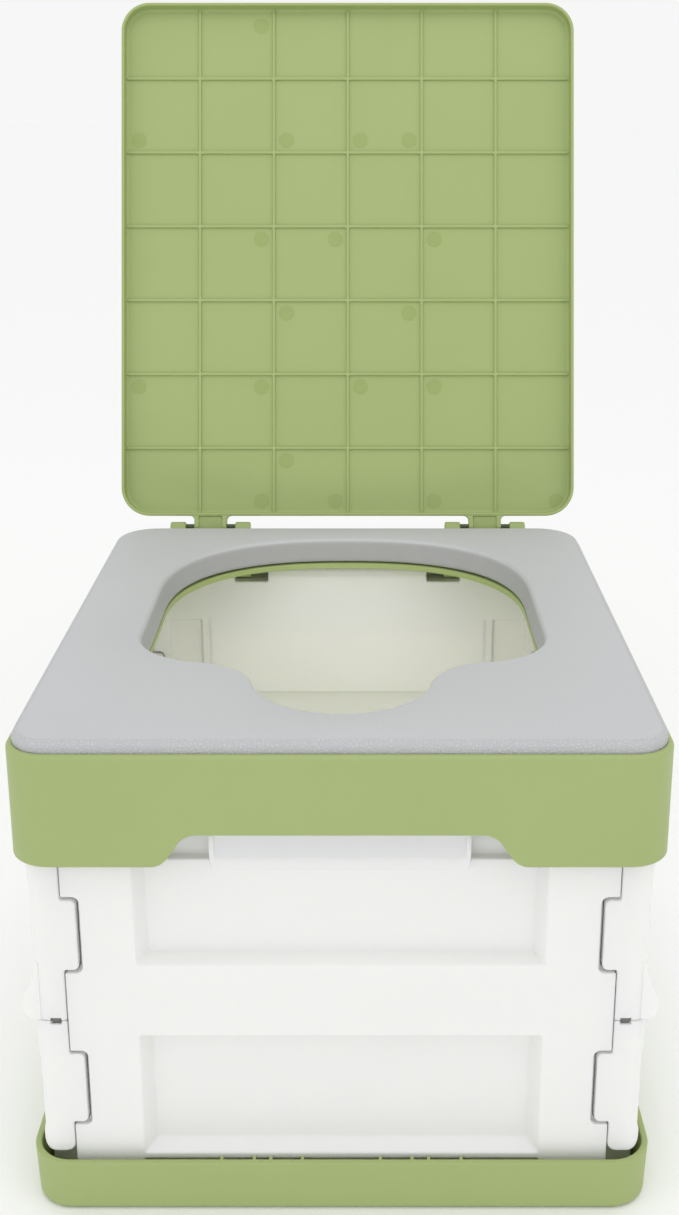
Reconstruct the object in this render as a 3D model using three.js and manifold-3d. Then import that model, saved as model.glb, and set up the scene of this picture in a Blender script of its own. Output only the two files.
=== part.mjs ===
// Collapsible portable toilet of the folding-crate kind: base tray, two bi-fold side walls, hinged end
// panels, a top frame with a foam seat pad, and a lid. Millimetres, +Z up, front towards -Y, origin at
// the centre of the tray's underside. The lid stands open against its stop.
import * as THREE from 'three';
import { mergeVertices } from 'three/addons/utils/BufferGeometryUtils.js';
import { ConvexGeometry } from 'three/addons/geometries/ConvexGeometry.js';
import Module from 'manifold-3d';

const wasm = await Module();
wasm.setup();

// ---------------------------------------------------------------- driving dimensions
const WIDTH = 320;                  // overall, X
const DEPTH = 362;                  // overall, Y
const HEIGHT = 256;                 // ground to the top of the frame's rim
const CORNER_R = 21;                // plan radius of frame and tray
const FIT = 0.4;                    // gap between pieces that touch
const SLIT = 0.8;                   // gap between an end panel and a side wall

const TRAY_HEIGHT = 29;
const TRAY_WALL = 3.6;
const TRAY_FLOOR = 3;
const TRAY_RIB = { width: 1.6, belowRim: 1.5, xs: [20, 36.3, 44.8, 61.5] };

const SKIRT_DROP = 58;              // rim top to the skirt's lower edge
const FRAME_WALL = 3.2;
const DECK_DROP = 11;               // rim top to the deck's upper face
const DECK_THICK = 3.5;
const DECK_LIP = 1.8;               // the deck shows this far inside the pad's hole
const CUTOUT = { bottom: 90.6, top: 67.3, rise: 17 };   // half-widths of the finger cut-out, and its height

const PAD_THICK = 16;
const PAD_EDGE = 4;                 // rounding of the pad's upper edges
const PAD_REAR_R = 25;
// seat hole: rear bowl, straight sides, shoulders, concave necks and a front scoop
const HOLE = { half: 113, rearLength: 106.7, rearPower: 2.4, rearMargin: 32.3, frontMargin: 37.1,
  shoulderR: 42, shoulderFromScoop: 63, scoopR: 46.5, neckR: 35 };

const WALL_THICK = 17;              // side walls
const WALL_SET_IN = 6.1;            // frame's outer face to a side wall's outer face
const WALL_RECESS = 1.6;
const WALL_BORDER = 14;
const WALL_CELL = { count: 4, rib: 3, skin: 2.6, margin: 22, clear: 13 };  // open cells in the inner face
const WALL_HEAD = 7;                // upper wall's top edge above its hinge
const FLOOR_GAP = 1.5;              // tray floor to the lower wall
const BASE_HINGE_Z = 10;
const FRAME_HINGE_DROP = 47;        // rim top to the upper wall's hinge
const SPLIT_BELOW_MIDDLE = 1.9;     // halves meet this far below the middle of their two hinges
const GRIP_LIP = { height: 19.2, proud: 6.5 };
const TAB_REACH = 7.5;
const TAB_UPPER = [28.8, 67.7];      // heights above the split
const TAB_LOWER = [-60, -19.6];
const TAB_R = 3;
const NOTCH_GAP = 2.2;
const PIN_R = 2.2;
const PIN_LENGTH = 26;
const ROD_R = 2.6;                  // middle hinge's rod
const BRACKET = { width: 10, inFromEnd: 46, wall: 3 };  // hinge brackets between wall and tray or frame
const HEEL = { top: 30, length: 22 };                   // clearance at the foot of each wall end
const WALL_CORNER_R = 8;            // a side wall's outer upright edges

const PANEL_THICK = 16;
const PANEL_SET_BACK = 8;           // frame's outer face to an end panel's outer face
const FOLD_GAP = 0.5;               // folded panel to the deck's underside
const PANEL_WALL = 2.6;
const PANEL_FLOOR_GAP = 5;          // ground to the panel's lower edge
const HEAD_ROUNDING = 1;            // panel's head is rounded about the hinge, this much inside its faces
const STILE_WIDTH = 35;
const FIELD_DEPTH = 8.5;
const FIELD_SLOPE = 5.5;
const BAND = { below: 8.9, above: 31.5, slope: 3.6, step: 6.6 };  // middle band from the side walls' split, and its inner step
const SILL = { low: 25.2, top: 28.8, slope: 3.6, back: 5 };  // lip across an end panel's foot, clear below it
const POCKET_DROP = 55.4;           // rim top to the inner pockets' upper edge
const LEDGE_BELOW_SKIRT = 4.4;      // set-back ledge beside the grip box
const LEDGE_BACK = 4.9;             // how far the face steps back above the ledge
const GRIP_BOX = { half: 63.5, belowCutout: 3.4, height: 24, slope: 9, wall: 2.4 };
const PANEL_PIN = { r: 1.6, from: 52, to: 80, slotFrom: 55, slotTo: 78, hangerFrom: 67, hangerTo: 77 };
const HANGER_R = 3.6;

const LID_THICK = 11;
const LID_WALL = 2.5;
const LID_RIM = 3;
const LID_RIB = { thick: 1.9, depth: 1.5, pitch: 52.6, fromHinge: 48.4 };
const LID_GAP = 0.5;                // closed lid to the frame's rim
const LID_OVERHANG = 1;             // closed lid past the frame's rear face
const LID_LEAN_DEG = 16.7;          // open lid, back from upright
const LID_AXIS_BEHIND = 8.5;        // frame's rear face to the lid hinge
const LID_AXIS_ABOVE = 3;           // rim top to the lid hinge
const LID_ARM = { fromSide: 63, width: 22.7 };
const EAR = { gap: 6, width: 11, r: 4 };
const LID_PIN_R = 1.7;

// ---------------------------------------------------------------- worked-out places
const frontY = -DEPTH / 2;
const deckTop = HEIGHT - DECK_DROP;
const deckUnder = deckTop - DECK_THICK;
const skirtZ = HEIGHT - SKIRT_DROP;
const wallOuter = WIDTH / 2 - WALL_SET_IN;
const wallInner = wallOuter - WALL_THICK;
const panelHalf = wallInner - SLIT;
const panelOuterY = DEPTH / 2 - PANEL_SET_BACK;          // distance of the panels' outer faces from the middle
const panelAxisY = panelOuterY - PANEL_THICK / 2;
const panelAxisZ = deckUnder - FOLD_GAP - PANEL_THICK / 2;
const headR = PANEL_THICK / 2 - HEAD_ROUNDING;
const frameHingeZ = HEIGHT - FRAME_HINGE_DROP;
const splitZ = (BASE_HINGE_Z + frameHingeZ) / 2 - SPLIT_BELOW_MIDDLE;
const tabUpper = TAB_UPPER.map((z) => splitZ + z);
const tabLower = TAB_LOWER.map((z) => splitZ + z);
const wallAxisX = wallOuter - WALL_THICK / 2;
const lidArmX = WIDTH / 2 - LID_ARM.fromSide;
const lidAxis = new THREE.Vector3(0, DEPTH / 2 + LID_AXIS_BEHIND, HEIGHT + LID_AXIS_ABOVE);

// ---------------------------------------------------------------- solids
function solid(geometry, matrix) {
  const g = geometry.clone();
  if (matrix) g.applyMatrix4(matrix);
  g.deleteAttribute('normal');
  g.deleteAttribute('uv');
  const merged = mergeVertices(g, 1e-4);
  return new wasm.Manifold(new wasm.Mesh({
    numProp: 3,
    vertProperties: new Float32Array(merged.attributes.position.array),
    triVerts: new Uint32Array(merged.index.array),
  }));
}

const move = (x, y, z) => new THREE.Matrix4().makeTranslation(x, y, z);

function box(x0, x1, y0, y1, z0, z1) {
  return solid(new THREE.BoxGeometry(x1 - x0, y1 - y0, z1 - z0),
    move((x0 + x1) / 2, (y0 + y1) / 2, (z0 + z1) / 2));
}

// A prism whose outline is drawn in the X-Y plane and which rises from z0 to z1.
function prismZ(shape, z0, z1, segments = 4) {
  return solid(new THREE.ExtrudeGeometry(shape, { depth: z1 - z0, bevelEnabled: false, curveSegments: segments }),
    move(0, 0, z0));
}

// A prism whose outline is drawn in the X-Z plane and which runs from y0 to y1.
function prismY(shape, y0, y1, segments = 6) {
  const turn = new THREE.Matrix4().makeBasis(new THREE.Vector3(1, 0, 0), new THREE.Vector3(0, 0, 1),
    new THREE.Vector3(0, -1, 0));
  const g = new THREE.ExtrudeGeometry(shape, { depth: y1 - y0, bevelEnabled: false, curveSegments: segments });
  return solid(g, move(0, y1, 0).multiply(turn));
}

// A box given by its distances from the middle plane, on the left (side -1) or the right (side 1).
function boxBeside(side, near, far, y0, y1, z0, z1) {
  return side > 0 ? box(near, far, y0, y1, z0, z1) : box(-far, -near, y0, y1, z0, z1);
}

function rodX(x0, x1, y, z, r, sides = 12) {
  const g = new THREE.CylinderGeometry(r, r, x1 - x0, sides);
  return solid(g, move((x0 + x1) / 2, y, z).multiply(new THREE.Matrix4().makeRotationZ(Math.PI / 2)));
}

function rodY(y0, y1, x, z, r, sides = 12) {
  return solid(new THREE.CylinderGeometry(r, r, y1 - y0, sides), move(x, (y0 + y1) / 2, z));
}

function roundedRect(halfX, y0, y1, frontR, rearR = frontR) {
  const s = new THREE.Shape();
  s.moveTo(-halfX + frontR, y0);
  s.lineTo(halfX - frontR, y0);
  s.absarc(halfX - frontR, y0 + frontR, frontR, -Math.PI / 2, 0);
  s.absarc(halfX - rearR, y1 - rearR, rearR, 0, Math.PI / 2);
  s.absarc(-halfX + rearR, y1 - rearR, rearR, Math.PI / 2, Math.PI);
  s.absarc(-halfX + frontR, y0 + frontR, frontR, Math.PI, Math.PI * 1.5);
  return s;
}

function hull(points) {
  return solid(new ConvexGeometry(points.map((p) => new THREE.Vector3(...p))));
}

// A four-sided recess that narrows by slope on every side as it goes from yOuter to yInner.
function recess(x0, x1, z0, z1, yOuter, yInner, slopeX, slopeTop, slopeFoot) {
  return hull([
    [x0, yOuter, z0], [x1, yOuter, z0], [x1, yOuter, z1], [x0, yOuter, z1],
    [x0 + slopeX, yInner, z0 + slopeFoot], [x1 - slopeX, yInner, z0 + slopeFoot],
    [x1 - slopeX, yInner, z1 - slopeTop], [x0 + slopeX, yInner, z1 - slopeTop],
  ]);
}

function mesh(name, body, colour, roughness) {
  const m = body.getMesh();
  const g = new THREE.BufferGeometry();
  g.setAttribute('position', new THREE.BufferAttribute(new Float32Array(m.vertProperties), 3));
  g.setIndex(new THREE.BufferAttribute(new Uint32Array(m.triVerts), 1));
  g.computeVertexNormals();
  const material = new THREE.MeshStandardMaterial({ color: colour, roughness, metalness: 0 });
  const out = new THREE.Mesh(g, material);
  out.name = name;
  return out;
}

const GREEN = 0xa6b67a;
const WHITE = 0xf1f1f0;
const FOAM = 0xc3c4c6;
const PIN_GREY = 0x8b8b88;

// ---------------------------------------------------------------- seat hole outline
// One closed outline: front scoop, concave necks, shoulders, straight sides and a full rear bowl.
// Every radius grows or shrinks by offset, so the deck's hole follows the pad's.
function seatHole(offset) {
  const half = HOLE.half + offset;
  const rearY = DEPTH / 2 - HOLE.rearMargin - HOLE.rearLength;
  const scoopY = frontY + HOLE.frontMargin + HOLE.scoopR;
  const shoulderX = HOLE.half - HOLE.shoulderR;
  const shoulderY = scoopY + HOLE.shoulderFromScoop;
  const scoopR = HOLE.scoopR + offset;
  const shoulderR = HOLE.shoulderR + offset;
  const neckR = HOLE.neckR - offset;
  // the neck's circle touches the scoop's and the shoulder's from outside
  const a = new THREE.Vector2(0, scoopY);
  const b = new THREE.Vector2(shoulderX, shoulderY);
  const ra = scoopR + neckR;
  const rb = shoulderR + neckR;
  const d = a.distanceTo(b);
  const along = (ra * ra - rb * rb + d * d) / (2 * d);
  const across = Math.sqrt(ra * ra - along * along);
  const u = b.clone().sub(a).divideScalar(d);
  const neck = new THREE.Vector2(a.x + u.x * along + u.y * across, a.y + u.y * along - u.x * across);
  const toScoop = Math.atan2(a.y - neck.y, a.x - neck.x);
  const toShoulder = Math.atan2(b.y - neck.y, b.x - neck.x);

  const s = new THREE.Shape();
  const scoopEnd = toScoop - Math.PI;
  s.absarc(0, scoopY, scoopR, -Math.PI - scoopEnd, scoopEnd);
  s.absarc(neck.x, neck.y, neckR, toScoop, toShoulder, true);
  s.absarc(shoulderX, shoulderY, shoulderR, toShoulder - Math.PI, 0);
  const steps = 16;
  for (let i = 0; i <= steps; i++) {
    const t = (i / steps) * Math.PI;
    const c = Math.cos(t);
    const px = Math.sign(c) * half * Math.abs(c) ** (2 / HOLE.rearPower);
    const py = (HOLE.rearLength + offset) * Math.sin(t) ** (2 / HOLE.rearPower);
    s.lineTo(px, rearY + py);
  }
  s.absarc(-shoulderX, shoulderY, shoulderR, Math.PI, Math.PI - (toShoulder - Math.PI));
  s.absarc(-neck.x, neck.y, neckR, Math.PI - toShoulder, Math.PI - toScoop, true);
  return s;
}

// ---------------------------------------------------------------- base tray
function baseTray() {
  const yIn = DEPTH / 2 - TRAY_WALL;
  const outer = prismZ(roundedRect(WIDTH / 2, frontY, -frontY, CORNER_R), 0, TRAY_HEIGHT);
  const inner = prismZ(roundedRect(WIDTH / 2 - TRAY_WALL, -yIn, yIn, CORNER_R - TRAY_WALL), TRAY_FLOOR, TRAY_HEIGHT + 1);
  let tray = outer.subtract(inner);
  // short ribs stiffen the front and rear walls
  for (const side of [-1, 1]) {
    for (const x of TRAY_RIB.xs) {
      for (const end of [-1, 1]) {
        const y0 = end * (yIn + 1);
        const y1 = end * (panelOuterY + 1);
        const x0 = side * x - TRAY_RIB.width / 2;
        tray = tray.add(box(x0, x0 + TRAY_RIB.width, Math.min(y0, y1), Math.max(y0, y1),
          TRAY_FLOOR - 1, TRAY_HEIGHT - TRAY_RIB.belowRim));
      }
    }
  }
  // hinge blocks stand inside the walls' feet, one at each end of each side
  for (const side of [-1, 1]) {
    for (const end of [-1, 1]) {
      tray = tray.add(wallBracket(side, end, BASE_HINGE_Z, TRAY_FLOOR - 1));
      tray = tray.subtract(wallPinHole(side, end, BASE_HINGE_Z));
    }
  }
  return tray;
}

// Side-wall hinges: a bracket sits in a pocket of the wall, and a short pin along Y goes through both.
function bracketSpan(end) {
  const y = end * (panelOuterY - BRACKET.inFromEnd);
  return [y - BRACKET.width / 2, y + BRACKET.width / 2];
}

function wallBracket(side, end, axisZ, rootZ) {
  const [y0, y1] = bracketSpan(end);
  const x = side * wallAxisX;
  const r = PIN_R + BRACKET.wall;
  return box(x - r, x + r, y0, y1, Math.min(rootZ, axisZ), Math.max(rootZ, axisZ)).add(rodY(y0, y1, x, axisZ, r));
}

function wallPocket(side, end, axisZ, endZ) {
  const [y0, y1] = bracketSpan(end);
  const x = side * wallAxisX;
  const r = PIN_R + BRACKET.wall + SLIT;
  return box(x - r, x + r, y0 - SLIT, y1 + SLIT, Math.min(endZ, axisZ), Math.max(endZ, axisZ))
    .add(rodY(y0 - SLIT, y1 + SLIT, x, axisZ, r));
}

function pinSpan(end) {
  const [y0, y1] = bracketSpan(end);
  const middle = (y0 + y1) / 2;
  return [middle - PIN_LENGTH / 2, middle + PIN_LENGTH / 2];
}

function wallPinHole(side, end, axisZ) {
  const [y0, y1] = pinSpan(end);
  return rodY(y0 - FIT, y1 + FIT, side * wallAxisX, axisZ, PIN_R + FIT);
}

function wallPin(side, end, axisZ) {
  const [y0, y1] = pinSpan(end);
  return rodY(y0, y1, side * wallAxisX, axisZ, PIN_R);
}

// ---------------------------------------------------------------- side walls
function tab(side, end, z0, z1) {
  const s = new THREE.Shape();
  const inner = wallInner - TAB_REACH;
  s.moveTo(wallInner + 1, z0);
  s.lineTo(wallInner + 1, z1);
  s.lineTo(inner + TAB_R, z1);
  s.absarc(inner + TAB_R, z1 - TAB_R, TAB_R, Math.PI / 2, Math.PI);
  s.absarc(inner + TAB_R, z0 + TAB_R, TAB_R, Math.PI, Math.PI * 1.5);
  const near = panelOuterY - PANEL_THICK;
  const solidTab = end < 0 ? prismY(s, -panelOuterY, -near, 3) : prismY(s, near, panelOuterY, 3);
  return side > 0 ? solidTab : solidTab.mirror([1, 0, 0]);
}

function wallShell(side, [z0, z1], [fieldZ0, fieldZ1], [cellZ0, cellZ1]) {
  const outline = new THREE.Shape();
  const r = WALL_CORNER_R;
  outline.moveTo(wallInner, -panelOuterY);
  outline.lineTo(wallOuter - r, -panelOuterY);
  outline.absarc(wallOuter - r, -panelOuterY + r, r, -Math.PI / 2, 0);
  outline.absarc(wallOuter - r, panelOuterY - r, r, 0, Math.PI / 2);
  outline.lineTo(wallInner, panelOuterY);
  let wall = prismZ(outline, z0, z1, 4);
  if (side < 0) wall = wall.mirror([1, 0, 0]);
  // shallow field in the outer face
  const yField = panelOuterY - WALL_BORDER;
  wall = wall.subtract(boxBeside(side, wallOuter - WALL_RECESS, wallOuter + 1, -yField, yField, fieldZ0, fieldZ1));
  // open cells between upright ribs in the inner face
  const { count, rib, skin, margin } = WALL_CELL;
  const yCell = panelOuterY - margin;
  const step = (2 * yCell + rib) / count;
  for (let i = 0; i < count; i++) {
    const y0 = -yCell + i * step;
    wall = wall.subtract(boxBeside(side, wallInner - 1, wallOuter - WALL_RECESS - skin, y0, y0 + step - rib,
      cellZ0, cellZ1));
  }
  return wall;
}

function sideLower(side) {
  const z0 = TRAY_FLOOR + FLOOR_GAP;
  const z1 = splitZ - FIT;
  let wall = wallShell(side, [z0, z1], [TRAY_HEIGHT + WALL_BORDER / 2, z1 - WALL_BORDER],
    [BASE_HINGE_Z + WALL_CELL.clear, z1 - WALL_CELL.clear]);
  for (const end of [-1, 1]) {
    const heel = end * (panelOuterY - HEEL.length);
    const past = end * (panelOuterY + 1);
    wall = wall.subtract(boxBeside(side, wallInner - 1, wallOuter + 1, Math.min(heel, past), Math.max(heel, past),
      z0 - 1, HEEL.top));
    wall = wall.subtract(wallPocket(side, end, BASE_HINGE_Z, z0 - 1));
    wall = wall.subtract(wallPinHole(side, end, BASE_HINGE_Z));
    wall = wall.add(tab(side, end, ...tabLower));
  }
  return wall.subtract(midRodGroove(side, -1));
}

function sideUpper(side) {
  const z1 = frameHingeZ + WALL_HEAD;
  let wall = wallShell(side, [splitZ, z1], [splitZ + GRIP_LIP.height, z1 - WALL_BORDER],
    [splitZ + WALL_CELL.clear, frameHingeZ - WALL_CELL.clear]);
  const lip = side * (wallOuter + GRIP_LIP.proud);
  const root = side * (wallOuter - 1);
  const top = splitZ + GRIP_LIP.height;
  const y = panelOuterY - WALL_CORNER_R / 2;
  // flared grip lip along the lower edge
  wall = wall.add(hull([
    [root, -y, splitZ], [root, y, splitZ], [lip, -y, splitZ + 5], [lip, y, splitZ + 5],
    [lip, -y, top - 10], [lip, y, top - 10], [root, -y, top], [root, y, top],
    [lip - side * 3, -y, splitZ], [lip - side * 3, y, splitZ],
  ]));
  for (const end of [-1, 1]) {
    wall = wall.subtract(wallPocket(side, end, frameHingeZ, z1 + 1));
    wall = wall.subtract(wallPinHole(side, end, frameHingeZ));
    wall = wall.add(tab(side, end, ...tabUpper));
  }
  return wall.subtract(midRodGroove(side, 1));
}

// The middle hinge's rod lies in a groove shared by the two halves, near their inner faces.
function midRodGroove(side) {
  const x = side * (wallInner + ROD_R + 3);
  return rodY(-panelOuterY - 1, panelOuterY + 1, x, splitZ - FIT / 2, ROD_R + FIT);
}

function midRod(side) {
  const x = side * (wallInner + ROD_R + 3);
  return rodY(-panelOuterY, panelOuterY, x, splitZ - FIT / 2, ROD_R);
}

// ---------------------------------------------------------------- top frame
function cutoutShape() {
  const s = new THREE.Shape();
  const { bottom, top, rise } = CUTOUT;
  const z = skirtZ;
  s.moveTo(-bottom - 8, z - 2);
  s.lineTo(-bottom - 8, z);
  s.bezierCurveTo(-bottom + 8, z, -bottom + 8, z + rise, -top, z + rise);
  s.lineTo(top, z + rise);
  s.bezierCurveTo(bottom - 8, z + rise, bottom - 8, z, bottom + 8, z);
  s.lineTo(bottom + 8, z - 2);
  return s;
}

function ear(x) {
  const y = lidAxis.y;
  const z = lidAxis.z;
  const root = DEPTH / 2 - 1;
  const x0 = x - EAR.width / 2;
  const x1 = x + EAR.width / 2;
  return rodX(x0, x1, y, z, EAR.r).add(hull([
    [x0, root, HEIGHT - 2], [x1, root, HEIGHT - 2], [x0, root, HEIGHT - 22], [x1, root, HEIGHT - 22],
    [x0, y - EAR.r * 0.7, z + EAR.r * 0.6], [x1, y - EAR.r * 0.7, z + EAR.r * 0.6],
    [x0, y + EAR.r * 0.98, z], [x1, y + EAR.r * 0.98, z],
    [x0, y + EAR.r * 0.98, HEIGHT - 8], [x1, y + EAR.r * 0.98, HEIGHT - 8],
  ]));
}

const earOffset = LID_ARM.width / 2 + EAR.gap + EAR.width / 2;
const lidPinHalf = earOffset + EAR.width / 2 - 1;

function panelHanger(side, end) {
  const y = end * panelAxisY;
  const { hangerFrom: from, hangerTo: to } = PANEL_PIN;
  return boxBeside(side, from, to, y - HANGER_R, y + HANGER_R, panelAxisZ, deckUnder + 1)
    .add(rodX(Math.min(side * from, side * to), Math.max(side * from, side * to), y, panelAxisZ, HANGER_R));
}

function panelPin(side, end, extra = 0) {
  const ends = [side * PANEL_PIN.from, side * PANEL_PIN.to];
  return rodX(Math.min(...ends) - extra, Math.max(...ends) + extra, end * panelAxisY, panelAxisZ,
    PANEL_PIN.r + extra);
}

function topFrame() {
  const yIn = DEPTH / 2 - FRAME_WALL;
  let frame = prismZ(roundedRect(WIDTH / 2, frontY, -frontY, CORNER_R), skirtZ, HEIGHT);
  const inside = roundedRect(WIDTH / 2 - FRAME_WALL, -yIn, yIn, CORNER_R - FRAME_WALL);
  frame = frame.subtract(prismZ(inside, skirtZ - 1, deckUnder));
  frame = frame.subtract(prismZ(inside, deckTop, HEIGHT + 1));
  frame = frame.subtract(prismZ(seatHole(-DECK_LIP), deckUnder - 1, deckTop + 1, 8));
  frame = frame.subtract(prismY(cutoutShape(), frontY - 1, frontY + FRAME_WALL + 1, 8));
  for (const side of [-1, 1]) {
    for (const end of [-1, 1]) {
      frame = frame.add(wallBracket(side, end, frameHingeZ, deckUnder + 1));
      frame = frame.subtract(wallPinHole(side, end, frameHingeZ));
      frame = frame.add(panelHanger(side, end)).subtract(panelPin(side, end, FIT));
    }
    for (const way of [-1, 1]) frame = frame.add(ear(side * lidArmX + way * earOffset));
    frame = frame.subtract(rodX(side * lidArmX - lidPinHalf - FIT, side * lidArmX + lidPinHalf + FIT,
      lidAxis.y, lidAxis.z, LID_PIN_R + FIT));
  }
  return frame;
}

// ---------------------------------------------------------------- seat pad
function seatPad() {
  const inset = FRAME_WALL + FIT;
  const z0 = deckTop + FIT;
  const z1 = deckTop + PAD_THICK;
  const outline = roundedRect(WIDTH / 2 - inset, frontY + inset, -frontY - inset, CORNER_R - FRAME_WALL, PAD_REAR_R);
  const low = prismZ(outline, z0, z1 - PAD_EDGE);
  const g = new THREE.ExtrudeGeometry(
    roundedRect(WIDTH / 2 - inset - PAD_EDGE, frontY + inset + PAD_EDGE, -frontY - inset - PAD_EDGE,
      CORNER_R - FRAME_WALL - PAD_EDGE, PAD_REAR_R - PAD_EDGE),
    { depth: 1, bevelEnabled: true, bevelThickness: PAD_EDGE, bevelSize: PAD_EDGE, bevelSegments: 3, curveSegments: 6 });
  const crown = solid(g, move(0, 0, z1 - PAD_EDGE - 1));
  const pad = low.add(crown);
  return pad.subtract(prismZ(seatHole(0), z0 - 1, z1 + 1, 10));
}

// ---------------------------------------------------------------- end panels
// Drawn for the front, with the outer face at -panelOuterY; the back panel is the same part turned round.
function endPanel(withGrip) {
  const yo = -panelOuterY;
  const yi = yo + PANEL_THICK;
  const yf = yo + FIELD_DEPTH;
  const half = panelHalf;
  const foot = PANEL_FLOOR_GAP;
  const field = half - STILE_WIDTH;
  const t = PANEL_WALL;
  const bandFoot = splitZ - BAND.below;
  const bandTop = splitZ + BAND.above;
  const ledge = skirtZ - LEDGE_BELOW_SKIRT;
  const pocketTop = HEIGHT - POCKET_DROP;
  const fieldTop = panelAxisZ - headR - t;
  let panel = box(-half, half, yo, yi, foot, panelAxisZ)
    .add(rodX(-half, half, -panelAxisY, panelAxisZ, headR, 20));

  // the two outer fields, with sloped sides, and the step back above the ledge
  const mouth = yo - 0.01;
  panel = panel.subtract(recess(-field, field, SILL.top, bandFoot, mouth, yf, FIELD_SLOPE, 1, SILL.slope));
  panel = panel.subtract(recess(-field, field, bandTop, fieldTop, mouth, yf, FIELD_SLOPE, 1, BAND.slope));
  panel = panel.subtract(box(-field + FIELD_SLOPE, field - FIELD_SLOPE, yf - 1, yf + LEDGE_BACK, ledge, fieldTop - 1));

  panel = panel.subtract(box(-field, field, yo - 1, yo + SILL.back, foot - 1, SILL.low));

  // open pockets on the inside, behind the stiles and the band
  const stileEnd = wallInner - TAB_REACH - NOTCH_GAP - t;
  for (const side of [-1, 1]) {
    panel = panel.subtract(boxBeside(side, field + 1, stileEnd, yo + t, yi + 1, foot + t, pocketTop));
  }
  panel = panel.subtract(box(-field + 1, field - 1, yo + t, yi + 1, bandFoot + t, bandTop - t));
  panel = panel.subtract(box(-field + 1, field - 1, yf + t, yi + 1, bandTop - t - 1, bandTop + BAND.step));

  if (withGrip) {
    const { half: w, height, slope, wall } = GRIP_BOX;
    const top = skirtZ + CUTOUT.rise - GRIP_BOX.belowCutout;
    const low = top - height;
    panel = panel.add(hull([
      [-w, yo, top], [w, yo, top], [-w, yo, low + slope], [w, yo, low + slope],
      [-w, yf + LEDGE_BACK + 1, top], [w, yf + LEDGE_BACK + 1, top], [-w, yf + 1, low], [w, yf + 1, low],
    ]));
    panel = panel.subtract(box(-w + wall, w - wall, yo + wall, yf + LEDGE_BACK, low + slope, top + 1));
  }

  for (const side of [-1, 1]) {
    // notches for the side walls' tabs
    for (const [z0, z1] of [tabUpper, tabLower]) {
      panel = panel.subtract(boxBeside(side, wallInner - TAB_REACH - NOTCH_GAP, half + 1, yo - 1, yi + 1,
        z0 - NOTCH_GAP, z1 + NOTCH_GAP));
    }
    // slots for the frame's hangers, and the pin's bore
    panel = panel.subtract(boxBeside(side, PANEL_PIN.slotFrom, PANEL_PIN.slotTo, yo - 1, yi + 1,
      panelAxisZ - HANGER_R - SLIT, panelAxisZ + headR + 1));
    panel = panel.subtract(panelPin(side, -1, FIT));
  }
  return panel;
}

// ---------------------------------------------------------------- lid
// Drawn closed, with its underside down, then swung open about the hinge.
function lid() {
  const z0 = HEIGHT + LID_GAP;
  const z1 = z0 + LID_THICK;
  const yRear = DEPTH / 2 + LID_OVERHANG;
  const yFront = frontY;
  let body = prismZ(roundedRect(WIDTH / 2, yFront, yRear, CORNER_R), z0, z1);
  const inner = roundedRect(WIDTH / 2 - LID_RIM, yFront + LID_RIM, yRear - LID_RIM, CORNER_R - LID_RIM);
  body = body.subtract(prismZ(inner, z0 - 1, z1 - LID_WALL));
  const ribZ0 = z1 - LID_WALL - LID_RIB.depth;
  const ribZ1 = z1 - LID_WALL + 0.5;
  const half = LID_RIB.thick / 2;
  const sideInner = WIDTH / 2 - LID_RIM;
  const across = Math.floor((sideInner - LID_RIB.thick) / LID_RIB.pitch);
  for (let i = -across; i <= across; i++) {
    const x = i * LID_RIB.pitch;
    body = body.add(box(x - half, x + half, yFront + LID_RIM - 0.5, yRear - LID_RIM + 0.5, ribZ0, ribZ1));
  }
  for (let y = yRear - LID_RIB.fromHinge; y > yFront + LID_RIM + LID_RIB.thick; y -= LID_RIB.pitch) {
    body = body.add(box(-sideInner - 0.5, sideInner + 0.5, y - half, y + half, ribZ0, ribZ1));
  }
  for (const side of [-1, 1]) {
    const x = side * lidArmX;
    const w = LID_ARM.width / 2;
    const y = lidAxis.y;
    const z = lidAxis.z;
    body = body.add(rodX(x - w, x + w, y, z, EAR.r)).add(hull([
      [x - w, yRear - 1, z0], [x + w, yRear - 1, z0], [x - w, yRear - 1, z1], [x + w, yRear - 1, z1],
      [x - w, y, z - EAR.r * 0.9], [x + w, y, z - EAR.r * 0.9], [x - w, y, z + EAR.r], [x + w, y, z + EAR.r],
    ]));
    body = body.subtract(rodX(x - w - 1, x + w + 1, y, z, LID_PIN_R + FIT));
  }
  return body;
}

function lidPin(side) {
  return rodX(side * lidArmX - lidPinHalf, side * lidArmX + lidPinHalf, lidAxis.y, lidAxis.z, LID_PIN_R);
}

// ---------------------------------------------------------------- assembly
const object = new THREE.Group();
object.add(mesh('base_tray', baseTray(), GREEN, 0.5));
object.add(mesh('top_frame', topFrame(), GREEN, 0.5));
object.add(mesh('seat_pad', seatPad(), FOAM, 0.75));
object.add(mesh('front_panel', endPanel(true), WHITE, 0.45));
object.add(mesh('back_panel', endPanel(false).rotate([0, 0, 180]), WHITE, 0.45));

for (const [side, hand] of [[-1, 'left'], [1, 'right']]) {
  object.add(mesh(`side_lower_${hand}`, sideLower(side), WHITE, 0.45));
  object.add(mesh(`side_upper_${hand}`, sideUpper(side), WHITE, 0.45));
  object.add(mesh(`mid_hinge_rod_${hand}`, midRod(side), PIN_GREY, 0.4));
  for (const [end, where] of [[-1, 'front'], [1, 'back']]) {
    object.add(mesh(`base_hinge_pin_${hand}_${where}`, wallPin(side, end, BASE_HINGE_Z), PIN_GREY, 0.4));
    object.add(mesh(`frame_hinge_pin_${hand}_${where}`, wallPin(side, end, frameHingeZ), PIN_GREY, 0.4));
    object.add(mesh(`${where}_panel_pin_${hand}`, panelPin(side, end), PIN_GREY, 0.4));
  }
  object.add(mesh(`lid_hinge_pin_${hand}`, lidPin(side), PIN_GREY, 0.4));
}

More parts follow.
